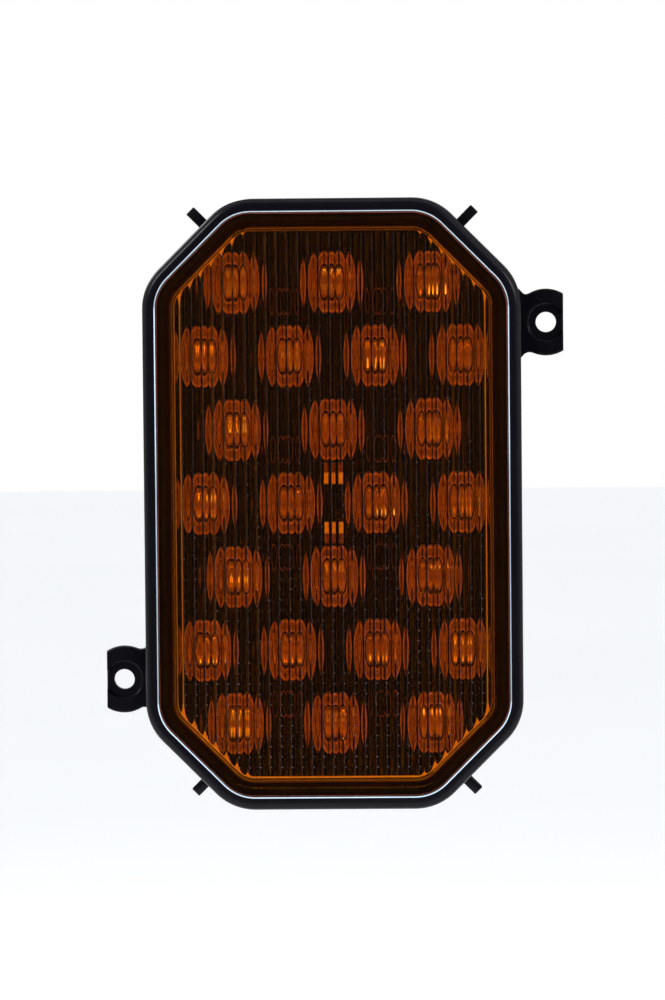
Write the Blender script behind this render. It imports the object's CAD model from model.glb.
"""Amber LED signal lamp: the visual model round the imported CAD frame.

Lengths are metres in code and properties. The lamp shines towards -Y, with +Z up.
"""

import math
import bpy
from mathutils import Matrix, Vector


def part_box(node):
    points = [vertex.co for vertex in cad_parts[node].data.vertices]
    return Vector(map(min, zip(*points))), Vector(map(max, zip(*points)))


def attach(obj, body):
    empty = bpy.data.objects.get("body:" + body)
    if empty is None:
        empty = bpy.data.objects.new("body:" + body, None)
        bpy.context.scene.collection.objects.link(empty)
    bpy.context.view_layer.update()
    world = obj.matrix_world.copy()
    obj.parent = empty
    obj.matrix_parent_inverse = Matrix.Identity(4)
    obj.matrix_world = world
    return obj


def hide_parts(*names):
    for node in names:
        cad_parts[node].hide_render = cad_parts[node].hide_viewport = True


bl_info = {
    "name": "LED Signal Lamp",
    "version": (1, 0, 0),
    "blender": (4, 5, 0),
    "location": "View3D > Sidebar > Signal Lamp",
    "description": "Builds an amber LED signal lamp with a fluted lens round its CAD frame",
    "category": "Object",
}

import bmesh
import bpy
from bpy.props import FloatProperty, FloatVectorProperty, IntProperty, PointerProperty
from mathutils import Matrix, Vector

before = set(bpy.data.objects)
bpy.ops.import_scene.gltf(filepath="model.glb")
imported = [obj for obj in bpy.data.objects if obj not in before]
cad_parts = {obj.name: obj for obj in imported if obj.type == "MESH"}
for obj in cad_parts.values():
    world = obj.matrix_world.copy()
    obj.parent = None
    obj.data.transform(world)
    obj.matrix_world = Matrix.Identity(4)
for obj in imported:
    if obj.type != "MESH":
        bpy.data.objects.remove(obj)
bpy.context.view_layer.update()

MM = 0.001
BODY = "root"
OPTICS = [f"optic_{i:02d}" for i in range(1, 25)]
CLIPS = ("upper_clip", "lower_clip")
LED_ROWS = [f"led_row_{i}" for i in range(1, 8)]

HOUSING_LOW, HOUSING_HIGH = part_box("housing")
LENS_LOW, LENS_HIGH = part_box("lens")
BAFFLE_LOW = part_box("baffle")[0]
OPTIC_LOW, OPTIC_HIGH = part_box("optic_01")
BODY_HEIGHT = HOUSING_HIGH.z - HOUSING_LOW.z
LENS_EDGE = (BODY_HEIGHT - (LENS_HIGH.z - LENS_LOW.z)) / 2
BODY_WIDTH = LENS_HIGH.x - LENS_LOW.x + 2 * LENS_EDGE

# The housing's glue groove and the lens's tongue in it: distances in from the outline, and depths
GROOVE_OUT, GROOVE_IN, GROOVE_DEPTH = 4.3 * MM, 6.1 * MM, 2.2 * MM
TONGUE_OUT, TONGUE_IN, TONGUE_DEPTH = 4.7 * MM, 5.7 * MM, 1.3 * MM


# ---- Properties ----


def length(name, description, default):
    return FloatProperty(
        name=name, description=description, default=default, min=0.0, unit="LENGTH", precision=5
    )


def colour(name, description, default):
    return FloatVectorProperty(
        name=name, description=description, default=default, size=3, min=0.0, max=1.0, subtype="COLOR"
    )


class LampHousing(bpy.types.PropertyGroup):
    corner_leg: length("Corner cut", "Leg of each 45 degree corner cut", 23 * MM)
    corner_radius: length("Corner radius", "Radius of the outline's eight corners", 15 * MM)
    rim_width: length("Rim width", "Width of the rim round the lens", LENS_EDGE - 0.15 * MM)
    rim_round: length("Rim rounding", "Radius of the rim's outer edge", 1.8 * MM)
    skirt_wall: length("Skirt wall", "Thickness of the outer skirt", 2.6 * MM)
    tub_outer: length("Tub inset", "Distance from the outline to the tub's outside", 5 * MM)
    tub_inner: length("Cavity inset", "Distance from the outline to the tub's inside", 7.3 * MM)
    ear_across: length("Ear across", "Distance from the middle to an ear hole, across", 57.5 * MM)
    ear_up: length("Ear up", "Distance from the middle to an ear hole, up or down", 48 * MM)
    ear_radius: length("Ear radius", "Radius of the ears' round outline", 9 * MM)
    ear_hole: length("Ear hole", "Radius of the ears' screw holes", 2.75 * MM)
    ear_thick: length("Ear thickness", "Thickness of the ears", 4 * MM)
    tab_length: length("Tab length", "Length of a locating tab outside the skirt", 5.4 * MM)
    tab_width: length("Tab width", "Width of a locating tab", 2.8 * MM)
    plastic: colour("Plastic", "Colour of the moulded housing", (0.0036, 0.0031, 0.0054))


class LampLens(bpy.types.PropertyGroup):
    flange_thick: length("Flange thickness", "Thickness of the lens flange", 2.5 * MM)
    window_inset: length("Window inset", "Distance from the outline to the fluted window", 7.7 * MM)
    edge_round: length("Edge rounding", "Radius of the lens's front edge", 0.7 * MM)
    flute_pitch: length("Flute pitch", "Distance from one flute to the next", 2.85 * MM)
    flute_phase: length("Flute phase", "Distance of the middle flute from the lens's middle", 0.15 * MM)
    flute_slope: FloatProperty(
        name="Flute slope",
        description="Steepest slope of the flutes",
        default=math.radians(35),
        subtype="ANGLE",
    )
    groove_share: FloatProperty(
        name="Groove share",
        description="Part of each flute's pitch taken by its groove",
        default=0.69,
        subtype="FACTOR",
    )
    lip_wall: length("Lip wall", "Thickness of the lip behind the lens", 0.85 * MM)
    lip_depth: length("Lip depth", "Depth of the lip behind the lens's flange", 4.5 * MM)
    dot_pitch: length("Dot pitch", "Distance between the dots up the lens", 2.82 * MM)
    dot_radius: length("Dot radius", "Radius of one of the lens's fine dots", 0.12 * MM)
    amber: colour("Amber", "Colour of the lens", (0.97, 0.37, 0.012))


class LampOptics(bpy.types.PropertyGroup):
    radius: length("Optic radius", "Radius of an optic's front", (OPTIC_HIGH.x - OPTIC_LOW.x) / 2)
    pocket: length("Pocket radius", "Radius of the pocket in an optic's front", 4.9 * MM)
    foot: length("Foot radius", "Radius of an optic's foot", 3.6 * MM)
    segments: IntProperty(name="Segments", description="Sides of an optic's round outline", default=64)
    tint: colour("Optic tint", "Colour of the optics", (1.0, 0.74, 0.12))


class LampRear(bpy.types.PropertyGroup):
    socket_width: length("Socket width", "Inside width of the connector's socket", 15 * MM)
    socket_height: length("Socket height", "Inside height of the connector's socket", 10 * MM)
    socket_wall: length("Socket wall", "Thickness of the socket's wall", 1.5 * MM)
    flange: length("Connector flange", "Thickness of the connector's flange", 2 * MM)
    pin_pitch: length("Pin pitch", "Distance from one pin to the next", 3.2 * MM)


class LampStage(bpy.types.PropertyGroup):
    camera_distance: length("Camera distance", "Distance from the camera to its target", 1.7)
    camera_azimuth: FloatProperty(
        name="Azimuth", description="Camera's turn to the right", default=math.radians(1.52), subtype="ANGLE"
    )
    camera_elevation: FloatProperty(
        name="Elevation", description="Camera's height angle", default=math.radians(3.18), subtype="ANGLE"
    )
    camera_roll: FloatProperty(
        name="Roll", description="Camera's roll", default=math.radians(-0.52), subtype="ANGLE"
    )
    camera_lens: FloatProperty(
        name="Focal length", description="Camera's focal length in millimetres", default=225.6
    )
    floor_drop: length("Floor drop", "Distance from the lamp's middle down to the floor", 0.32)


# ---- Outlines and meshes ----


def settings():
    return bpy.context.scene.signal_lamp


def corner_centre(k):
    """Centre of the arc that rounds corner k, from the right side's upper corner round."""
    h = settings().housing
    cut = h.corner_radius * math.tan(math.pi / 8)
    if k % 4 in (0, 3):
        x, z = BODY_WIDTH / 2 - h.corner_radius, BODY_HEIGHT / 2 - h.corner_leg - cut
    else:
        x, z = BODY_WIDTH / 2 - h.corner_leg - cut, BODY_HEIGHT / 2 - h.corner_radius
    return (x if k < 2 or k > 5 else -x), (z if k < 4 else -z)


def outline(inset, steps=10):
    """Points (x, z) of the lamp's outline, moved inwards by inset."""
    r = settings().housing.corner_radius - inset
    points = []
    for k in range(8):
        cx, cz = corner_centre(k)
        for i in range(steps + 1):
            a = math.pi / 4 * (k + i / steps)
            points.append((cx + r * math.cos(a), cz + r * math.sin(a)))
    return points


def half_height(x, inset):
    """Half the outline's height at x, for the outline moved inwards by inset."""
    r = settings().housing.corner_radius - inset
    side_x, side_z = corner_centre(0)
    end_x, end_z = corner_centre(1)
    x = abs(x)
    if x <= end_x:
        return end_z + r
    bend = r * math.sin(math.pi / 4)
    if x <= end_x + bend:
        return end_z + math.sqrt(max(r * r - (x - end_x) ** 2, 0))
    if x <= side_x + bend:
        return end_z + bend - (x - end_x - bend)
    return side_z + math.sqrt(max(r * r - (x - side_x) ** 2, 0))


def rounded(path, steps=5):
    """Rounds the corners of a path of (a, b, radius) points, with straight runs between."""
    points = []
    for i, (a, b, radius) in enumerate(path):
        here = Vector((a, b))
        if radius == 0 or i in (0, len(path) - 1):
            points.append(here)
            continue
        back = (Vector(path[i - 1][:2]) - here).normalized()
        ahead = (Vector(path[i + 1][:2]) - here).normalized()
        half = back.angle(ahead) / 2
        start = here + back * radius / math.tan(half)
        end = here + ahead * radius / math.tan(half)
        centre = here + (back + ahead).normalized() * radius / math.sin(half)
        arm_a, arm_b = (start - centre).normalized(), (end - centre).normalized()
        for s in range(steps + 1):
            points.append(centre + arm_a.slerp(arm_b, s / steps) * radius)
    return points


def loft(bm, rings):
    """Joins closed rings of points into a tube with a flat cap at each end."""
    loops = [[bm.verts.new(p) for p in ring] for ring in rings]
    for low, high in zip(loops, loops[1:]):
        for i in range(len(low)):
            j = (i + 1) % len(low)
            bm.faces.new((low[i], low[j], high[j], high[i]))
    bm.faces.new(loops[0])
    bm.faces.new(loops[-1])


def outline_loft(bm, path):
    """A solid whose section follows a path of (inset, depth) points round the lamp's outline."""
    loft(bm, [[(x, depth, z) for x, z in outline(inset)] for inset, depth in path])


def outline_ring(bm, path):
    """A closed ring whose section is a closed path of (inset, depth) points."""
    loops = [[bm.verts.new((x, depth, z)) for x, z in outline(inset)] for inset, depth in path]
    for low, high in zip(loops, loops[1:] + loops[:1]):
        for i in range(len(low)):
            j = (i + 1) % len(low)
            bm.faces.new((low[i], low[j], high[j], high[i]))


def revolve(bm, profile, segments, place):
    """Turns a profile of (radius, depth) points, from pole to pole, about a line along Y."""
    px, pz = place
    loops = []
    for radius, depth in profile:
        if radius < 1e-7:
            loops.append([bm.verts.new((px, depth, pz))])
            continue
        turn = [2 * math.pi * s / segments for s in range(segments)]
        loops.append(
            [bm.verts.new((px + radius * math.cos(a), depth, pz + radius * math.sin(a))) for a in turn]
        )
    for low, high in zip(loops, loops[1:]):
        for i in range(segments):
            j = (i + 1) % segments
            ring = [low[i % len(low)], low[j % len(low)], high[j % len(high)], high[i % len(high)]]
            bm.faces.new(list(dict.fromkeys(ring)))


def block(bm, low, high, turn=None, bevel=0.0):
    """A box between two corners, with its edges bevelled."""
    size = Vector(high) - Vector(low)
    middle = (Vector(high) + Vector(low)) / 2
    made = bmesh.ops.create_cube(bm, size=1.0)["verts"]
    bmesh.ops.scale(bm, vec=size, verts=made)
    bmesh.ops.translate(bm, vec=middle, verts=made)
    if bevel:
        edges = list({e for v in made for e in v.link_edges})
        made = bmesh.ops.bevel(bm, geom=edges, offset=bevel, segments=3, profile=0.5, affect="EDGES")["verts"]
    if turn is not None:
        bmesh.ops.transform(bm, matrix=turn, verts=made)
    return made


def mesh_object(name, bm, materials, sharp=35):
    """Turns a bmesh into an object with outward faces, smooth but for edges over sharp degrees."""
    bmesh.ops.remove_doubles(bm, verts=bm.verts, dist=1e-7)
    bmesh.ops.recalc_face_normals(bm, faces=bm.faces)
    mesh = bpy.data.meshes.new(name)
    bm.to_mesh(mesh)
    bm.free()
    for material in materials:
        mesh.materials.append(material)
    smooth(mesh, sharp)
    piece = bpy.data.objects.new(name, mesh)
    bpy.context.scene.collection.objects.link(piece)
    return piece


def smooth(mesh, sharp):
    mesh.shade_smooth()
    mesh.set_sharp_from_angle(angle=math.radians(sharp))


def settle(piece, sharp=None):
    """Turns a piece with modifiers into a plain mesh."""
    bpy.context.view_layer.update()
    evaluated = piece.evaluated_get(bpy.context.evaluated_depsgraph_get())
    mesh = bpy.data.meshes.new_from_object(evaluated)
    piece.modifiers.clear()
    old = piece.data
    piece.data = mesh
    bpy.data.meshes.remove(old)
    if sharp is not None:
        smooth(piece.data, sharp)
    return piece


def combine(piece, tool, operation, sharp=35):
    """Joins a tool to a piece, or cuts it away, and drops the tool."""
    step = piece.modifiers.new("Combine", "BOOLEAN")
    step.operation = operation
    step.solver = "EXACT"
    step.object = tool
    settle(piece, sharp)
    bpy.data.meshes.remove(tool.data)
    return piece


def joined_blocks(name, corners, bevel, material):
    """One solid made of several bevelled blocks, given by their lowest and highest corners."""
    piece = None
    for low, high in corners:
        bm = bmesh.new()
        block(bm, low, high, bevel=bevel)
        part = mesh_object(name, bm, [material])
        piece = part if piece is None else combine(piece, part, "UNION")
    return piece


def place_piece(piece, slot, *nodes):
    """Declares a finished piece: its body, its finish, and the CAD nodes it stands for."""
    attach(piece, BODY)
    if nodes:
        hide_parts(*nodes)


def node_centre(node):
    low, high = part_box(node)
    return (low.x + high.x) / 2, (low.z + high.z) / 2


# ---- Node helpers ----


def maths(tree, operation, *values):
    """A Math node whose inputs are sockets or plain numbers; returns its output."""
    node = tree.nodes.new("ShaderNodeMath")
    node.operation = operation
    for socket, value in zip(node.inputs, values):
        if isinstance(value, bpy.types.NodeSocket):
            tree.links.new(value, socket)
        else:
            socket.default_value = value
    return node.outputs[0]


def remap(nodes, from_low, from_high, to_low=0.0, to_high=1.0):
    """A Map Range node that turns one range of values into another."""
    node = nodes.new("ShaderNodeMapRange")
    ends = {"From Min": from_low, "From Max": from_high, "To Min": to_low, "To Max": to_high}
    for socket, value in ends.items():
        node.inputs[socket].default_value = value
    return node


def new_group(name, inputs, outputs):
    """A shader node group with named sockets, and its input and output nodes."""
    group = bpy.data.node_groups.new(name, "ShaderNodeTree")
    for socket, kind, default in inputs:
        made = group.interface.new_socket(name=socket, in_out="INPUT", socket_type=kind)
        made.default_value = default
    for socket, kind in outputs:
        group.interface.new_socket(name=socket, in_out="OUTPUT", socket_type=kind)
    return group, group.nodes.new("NodeGroupInput"), group.nodes.new("NodeGroupOutput")


# ---- Materials ----


def grain_group():
    """Moulded surface: a fine grain height and a slow drift of roughness."""
    if "Moulded Grain" in bpy.data.node_groups:
        return bpy.data.node_groups["Moulded Grain"]
    group, source, sink = new_group(
        "Moulded Grain",
        [
            ("Grain Scale", "NodeSocketFloat", 2500.0),
            ("Drift Scale", "NodeSocketFloat", 60.0),
            ("Roughness Low", "NodeSocketFloat", 0.25),
            ("Roughness High", "NodeSocketFloat", 0.4),
        ],
        [("Height", "NodeSocketFloat"), ("Roughness", "NodeSocketFloat")],
    )
    nodes, links = group.nodes, group.links
    where = nodes.new("ShaderNodeTexCoord")
    grain = nodes.new("ShaderNodeTexNoise")
    grain.inputs["Detail"].default_value = 3.0
    drift = nodes.new("ShaderNodeTexNoise")
    drift.inputs["Detail"].default_value = 4.0
    spread = remap(nodes, 0.3, 0.7)
    for texture, scale in ((grain, "Grain Scale"), (drift, "Drift Scale")):
        links.new(where.outputs["Object"], texture.inputs["Vector"])
        links.new(source.outputs[scale], texture.inputs["Scale"])
    links.new(drift.outputs["Fac"], spread.inputs["Value"])
    links.new(source.outputs["Roughness Low"], spread.inputs["To Min"])
    links.new(source.outputs["Roughness High"], spread.inputs["To Max"])
    links.new(grain.outputs["Fac"], sink.inputs["Height"])
    links.new(spread.outputs["Result"], sink.inputs["Roughness"])
    return group


def mottle_group():
    """Two colours mixed by a soft noise, for uneven plastic, metal and board surfaces."""
    if "Mottled Colour" in bpy.data.node_groups:
        return bpy.data.node_groups["Mottled Colour"]
    group, source, sink = new_group(
        "Mottled Colour",
        [
            ("Colour", "NodeSocketColor", (0.5, 0.5, 0.5, 1)),
            ("Second Colour", "NodeSocketColor", (0.4, 0.4, 0.4, 1)),
            ("Scale", "NodeSocketFloat", 120.0),
        ],
        [("Colour", "NodeSocketColor")],
    )
    nodes, links = group.nodes, group.links
    where = nodes.new("ShaderNodeTexCoord")
    noise = nodes.new("ShaderNodeTexNoise")
    noise.inputs["Detail"].default_value = 5.0
    spread = remap(nodes, 0.35, 0.65)
    mix = nodes.new("ShaderNodeMix")
    mix.data_type = "RGBA"
    links.new(where.outputs["Object"], noise.inputs["Vector"])
    links.new(source.outputs["Scale"], noise.inputs["Scale"])
    links.new(noise.outputs["Fac"], spread.inputs["Value"])
    links.new(spread.outputs["Result"], mix.inputs["Factor"])
    links.new(source.outputs["Colour"], mix.inputs["A"])
    links.new(source.outputs["Second Colour"], mix.inputs["B"])
    links.new(mix.outputs["Result"], sink.inputs["Colour"])
    return group


def glint_group():
    """Tall bright glints in the middle of each optic, from its "across" and "up" attributes."""
    group, source, sink = new_group(
        "Optic Glints",
        [
            ("Colour", "NodeSocketColor", (1, 1, 1, 1)),
            ("Scale", "NodeSocketFloat", 620.0),
            ("Middle", "NodeSocketFloat", 0.08),
            ("Half Width", "NodeSocketFloat", 0.11),
            ("Half Height", "NodeSocketFloat", 0.42),
        ],
        [("Colour", "NodeSocketColor")],
    )
    nodes, links = group.nodes, group.links
    where = nodes.new("ShaderNodeTexCoord")
    tall = nodes.new("ShaderNodeVectorMath")
    tall.operation = "MULTIPLY"
    tall.inputs[1].default_value = (1.0, 1.0, 0.35)
    noise = nodes.new("ShaderNodeTexNoise")
    noise.inputs["Detail"].default_value = 1.0
    lit = remap(nodes, 0.58, 0.7)
    links.new(where.outputs["Object"], tall.inputs[0])
    links.new(tall.outputs["Vector"], noise.inputs["Vector"])
    links.new(source.outputs["Scale"], noise.inputs["Scale"])
    links.new(noise.outputs["Fac"], lit.inputs["Value"])
    mask = lit.outputs["Result"]
    for name, reach in (("across", "Half Width"), ("up", "Half Height")):
        place = nodes.new("ShaderNodeAttribute")
        place.attribute_name = name
        away = place.outputs["Fac"]
        if name == "across":
            away = maths(group, "SUBTRACT", away, source.outputs["Middle"])
        near = maths(group, "LESS_THAN", maths(group, "ABSOLUTE", away), source.outputs[reach])
        mask = maths(group, "MULTIPLY", mask, near)
    scale = nodes.new("ShaderNodeVectorMath")
    scale.operation = "SCALE"
    links.new(source.outputs["Colour"], scale.inputs["Vector"])
    links.new(mask, scale.inputs["Scale"])
    links.new(scale.outputs["Vector"], sink.inputs["Colour"])
    return group


def place_group(material, group, **values):
    node = material.node_tree.nodes.new("ShaderNodeGroup")
    node.node_tree = group
    for socket, value in values.items():
        node.inputs[socket.replace("_", " ")].default_value = value
    return node


def finish(name, first, second, rough, scale=120.0, grain=2500.0, bump=0.15, depth=0.02 * MM, **plain):
    """A procedural finish: mottled colour, drifting roughness and a fine moulded or rolled grain."""
    if name in bpy.data.materials:
        return bpy.data.materials[name]
    material = bpy.data.materials.new(name)
    material.use_nodes = True
    nodes, links = material.node_tree.nodes, material.node_tree.links
    shader = nodes["Principled BSDF"]
    for socket, value in plain.items():
        shader.inputs[socket.replace("_", " ")].default_value = value
    tone = place_group(
        material, mottle_group(), Colour=(*first, 1), Second_Colour=(*second, 1), Scale=scale
    )
    skin = place_group(
        material, grain_group(), Grain_Scale=grain, Roughness_Low=rough[0], Roughness_High=rough[1]
    )
    relief = nodes.new("ShaderNodeBump")
    relief.inputs["Strength"].default_value = bump
    relief.inputs["Distance"].default_value = depth
    links.new(tone.outputs["Colour"], shader.inputs["Base Color"])
    links.new(skin.outputs["Roughness"], shader.inputs["Roughness"])
    links.new(skin.outputs["Height"], relief.inputs["Height"])
    links.new(relief.outputs["Normal"], shader.inputs["Normal"])
    return material


def housing_plastic():
    base = tuple(settings().housing.plastic)
    deep = tuple(0.75 * c for c in base)
    return finish(
        "Housing Plastic", base, deep, (0.24, 0.32), grain=1800.0, bump=0.2, Specular_IOR_Level=0.14, IOR=1.5
    )


def polished_edge():
    return finish(
        "Polished Edge", (0.5, 0.62, 0.72), (0.45, 0.56, 0.66), (0.04, 0.08), bump=0.02, Metallic=0.85,
        IOR=1.5,
    )


def lens_amber():
    amber = tuple(settings().lens.amber)
    deep = tuple(0.97 * c for c in amber)
    return finish(
        "Lens Amber", amber, deep, (0.0, 0.03), grain=400.0, bump=0.03,
        Transmission_Weight=1.0, IOR=1.585,
    )


def lens_rim():
    """The lens's outer edge, which looks dull red as its light comes from deep inside the flange."""
    return finish(
        "Lens Edge", (0.3, 0.07, 0.03), (0.2, 0.04, 0.02), (0.3, 0.4), Specular_IOR_Level=0.2, IOR=1.585
    )


def lip_amber():
    return finish(
        "Lens Lip", (0.95, 0.75, 0.35), (0.85, 0.6, 0.25), (0.3, 0.5), scale=500.0, IOR=1.585,
        Emission_Color=(1.0, 0.55, 0.1, 1), Emission_Strength=0.4,
    )


def lip_edge():
    return finish("Lens Lip Edge", (0.24, 0.1, 0.01), (0.18, 0.07, 0.01), (0.3, 0.5), scale=60.0, IOR=1.585)


def lip_corner():
    return finish("Lens Lip Corner", (0.75, 0.36, 0.05), (0.45, 0.2, 0.03), (0.3, 0.5), scale=90.0, IOR=1.585)


def clip_bright():
    return finish(
        "Clip Head", (0.95, 0.8, 0.4), (0.5, 0.3, 0.1), (0.1, 0.2), scale=900.0, IOR=1.49,
        Emission_Color=(1.0, 0.7, 0.15, 1), Emission_Strength=0.3,
    )


def clip_dim():
    return finish("Clip Foot", (0.5, 0.32, 0.12), (0.3, 0.18, 0.06), (0.1, 0.2), scale=900.0, IOR=1.49)


def bond_bead():
    return finish(
        "Bond Bead", (0.007, 0.005, 0.006), (0.004, 0.003, 0.004), (0.5, 0.7), scale=200.0,
        Specular_IOR_Level=0.2,
    )


def mark_brown():
    return finish("Moulding Mark", (0.16, 0.08, 0.04), (0.1, 0.05, 0.03), (0.3, 0.5), scale=500.0)


def fine_marks():
    return faded_marks("Lens Fine Lines", 0.02, 0.012)


def dot_marks():
    return faded_marks("Lens Fine Dots", 0.5, 0.02)


def faded_marks(name, low, high):
    """Faint pale marks on the lens's face, whose strength changes from bottom to top."""
    if name in bpy.data.materials:
        return bpy.data.materials[name]
    material = finish(name, (0.5, 0.47, 0.6), (0.4, 0.37, 0.48), (0.3, 0.5), scale=300.0)
    nodes, links = material.node_tree.nodes, material.node_tree.links
    where = nodes.new("ShaderNodeTexCoord")
    split = nodes.new("ShaderNodeSeparateXYZ")
    fade = remap(nodes, -BODY_HEIGHT / 2, BODY_HEIGHT / 2, low, high)
    links.new(where.outputs["Object"], split.inputs["Vector"])
    links.new(split.outputs["Z"], fade.inputs["Value"])
    links.new(fade.outputs["Result"], nodes["Principled BSDF"].inputs["Alpha"])
    return material


def optic_clear():
    """Clear optic that looks bright head on, dark at a slant, and dark at its pocket's wall."""
    if "Optic Clear" in bpy.data.materials:
        return bpy.data.materials["Optic Clear"]
    tint = tuple(settings().optics.tint)
    deep = tuple(0.5 * c for c in tint)
    pocket_edge = 0.59
    material = finish(
        "Optic Clear", tint, deep, (0.06, 0.14), scale=700.0, grain=900.0, bump=0.25, depth=0.1 * MM,
        Transmission_Weight=0.1, IOR=1.49, Specular_IOR_Level=1.0, Coat_Weight=1.0, Coat_Roughness=0.08,
    )
    nodes, links = material.node_tree.nodes, material.node_tree.links
    shader = nodes["Principled BSDF"]
    ring = nodes.new("ShaderNodeAttribute")
    ring.attribute_name = "ring"
    slant = nodes.new("ShaderNodeLayerWeight")
    fade = remap(nodes, 0.02, 0.06, 1.0, 0.04)
    bands = nodes.new("ShaderNodeValToRGB")
    bands.color_ramp.elements[0].color = (0.65, 0.65, 0.65, 1)
    in_pocket = [(0.4, 0.7), (0.51, 1.0)]
    at_wall = [(0.53, 0.0), (0.6, 0.0)]
    on_face = [(0.61, 1.0), (0.65, 0.8), (0.7, 0.5), (0.88, 0.5), (0.94, 1.0)]
    for place, value in in_pocket + at_wall + on_face:
        stop = bands.color_ramp.elements.new(place)
        stop.color = (value, value, value, 1)
    level = nodes.new("ShaderNodeMix")
    level.inputs["A"].default_value = 1.0
    shade = nodes.new("ShaderNodeMix")
    shade.data_type = "RGBA"
    shade.inputs["A"].default_value = (0, 0, 0, 1)
    links.new(slant.outputs["Facing"], fade.inputs["Value"])
    links.new(ring.outputs["Fac"], bands.inputs["Fac"])
    on_rim = maths(material.node_tree, "GREATER_THAN", ring.outputs["Fac"], pocket_edge)
    links.new(on_rim, level.inputs["Factor"])
    links.new(fade.outputs["Result"], level.inputs["B"])
    lit = maths(material.node_tree, "MULTIPLY", level.outputs["Result"], bands.outputs["Color"])
    links.new(lit, shade.inputs["Factor"])
    links.new(shader.inputs["Base Color"].links[0].from_socket, shade.inputs["B"])
    links.new(shade.outputs["Result"], shader.inputs["Base Color"])
    glint = place_group(material, glint_group(), Colour=(3.0, 2.4, 0.2, 1))
    links.new(glint.outputs["Colour"], shader.inputs["Emission Color"])
    shader.inputs["Emission Strength"].default_value = 1.0
    return material


def baffle_dark():
    return finish(
        "Baffle Dark", (0.003, 0.001, 0.001), (0.0015, 0.0005, 0.0005), (0.4, 0.55),
        Specular_IOR_Level=0.1, IOR=1.5,
    )


# ---- Geometry node trees ----


def new_tree(name, inputs):
    tree = bpy.data.node_groups.new(name, "GeometryNodeTree")
    tree.interface.new_socket(name="Geometry", in_out="INPUT", socket_type="NodeSocketGeometry")
    for socket, kind in inputs:
        tree.interface.new_socket(name=socket, in_out="INPUT", socket_type=kind)
    tree.interface.new_socket(name="Geometry", in_out="OUTPUT", socket_type="NodeSocketGeometry")
    return tree, tree.nodes.new("NodeGroupInput"), tree.nodes.new("NodeGroupOutput")


def copies_tree():
    """Stands a part at every point of a mesh."""
    if "Copies At Points" in bpy.data.node_groups:
        return bpy.data.node_groups["Copies At Points"]
    tree, source, sink = new_tree(
        "Copies At Points", [("Part", "NodeSocketObject"), ("Material", "NodeSocketMaterial")]
    )
    nodes, links = tree.nodes, tree.links
    part = nodes.new("GeometryNodeObjectInfo")
    spread = nodes.new("GeometryNodeInstanceOnPoints")
    real = nodes.new("GeometryNodeRealizeInstances")
    skin = nodes.new("GeometryNodeSetMaterial")
    links.new(source.outputs["Part"], part.inputs["Object"])
    links.new(source.outputs["Geometry"], spread.inputs["Points"])
    links.new(part.outputs["Geometry"], spread.inputs["Instance"])
    links.new(spread.outputs["Instances"], real.inputs["Geometry"])
    links.new(real.outputs["Geometry"], skin.inputs["Geometry"])
    links.new(source.outputs["Material"], skin.inputs["Material"])
    links.new(skin.outputs["Geometry"], sink.inputs["Geometry"])
    return tree


def flutes_tree():
    """Raises the back of a flat panel into vertical flutes with rounded crests."""
    tree, source, sink = new_tree(
        "Lens Flutes",
        [
            ("Pitch", "NodeSocketFloat"),
            ("Phase", "NodeSocketFloat"),
            ("Slope", "NodeSocketFloat"),
            ("Groove Share", "NodeSocketFloat"),
            ("Back Plane", "NodeSocketFloat"),
            ("Material", "NodeSocketMaterial"),
        ],
    )
    nodes, links = tree.nodes, tree.links
    where = nodes.new("GeometryNodeInputPosition")
    split = nodes.new("ShaderNodeSeparateXYZ")
    links.new(where.outputs["Position"], split.inputs["Vector"])
    pitch, slope = source.outputs["Pitch"], source.outputs["Slope"]
    half = maths(tree, "MULTIPLY", pitch, 0.5)
    low = maths(tree, "MULTIPLY", pitch, -0.5)
    across = maths(tree, "SUBTRACT", split.outputs["X"], source.outputs["Phase"])
    along = maths(tree, "ABSOLUTE", maths(tree, "WRAP", across, half, low))
    groove = maths(tree, "MULTIPLY", half, source.outputs["Groove Share"])
    steep = maths(tree, "SINE", slope)
    groove_r = maths(tree, "DIVIDE", groove, steep)
    crest_r = maths(tree, "DIVIDE", maths(tree, "SUBTRACT", half, groove), steep)
    rise = maths(tree, "MULTIPLY", half, maths(tree, "TANGENT", maths(tree, "MULTIPLY", slope, 0.5)))

    def sagitta(radius, reach):
        square = maths(tree, "SUBTRACT", maths(tree, "POWER", radius, 2.0), maths(tree, "POWER", reach, 2.0))
        return maths(tree, "SUBTRACT", radius, maths(tree, "SQRT", maths(tree, "MAXIMUM", square, 0.0)))

    in_groove = sagitta(groove_r, along)
    on_crest = maths(tree, "SUBTRACT", rise, sagitta(crest_r, maths(tree, "SUBTRACT", half, along)))
    choose = nodes.new("GeometryNodeSwitch")
    choose.input_type = "FLOAT"
    links.new(maths(tree, "LESS_THAN", along, groove), choose.inputs["Switch"])
    links.new(on_crest, choose.inputs["False"])
    links.new(in_groove, choose.inputs["True"])
    move = nodes.new("ShaderNodeCombineXYZ")
    links.new(choose.outputs["Output"], move.inputs["Y"])
    push = nodes.new("GeometryNodeSetPosition")
    on_back = maths(tree, "GREATER_THAN", split.outputs["Y"], source.outputs["Back Plane"])
    links.new(source.outputs["Geometry"], push.inputs["Geometry"])
    links.new(on_back, push.inputs["Selection"])
    links.new(move.outputs["Vector"], push.inputs["Offset"])
    real = nodes.new("GeometryNodeRealizeInstances")
    skin = nodes.new("GeometryNodeSetMaterial")
    links.new(push.outputs["Geometry"], real.inputs["Geometry"])
    links.new(real.outputs["Geometry"], skin.inputs["Geometry"])
    links.new(source.outputs["Material"], skin.inputs["Material"])
    links.new(skin.outputs["Geometry"], sink.inputs["Geometry"])
    return tree


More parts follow.
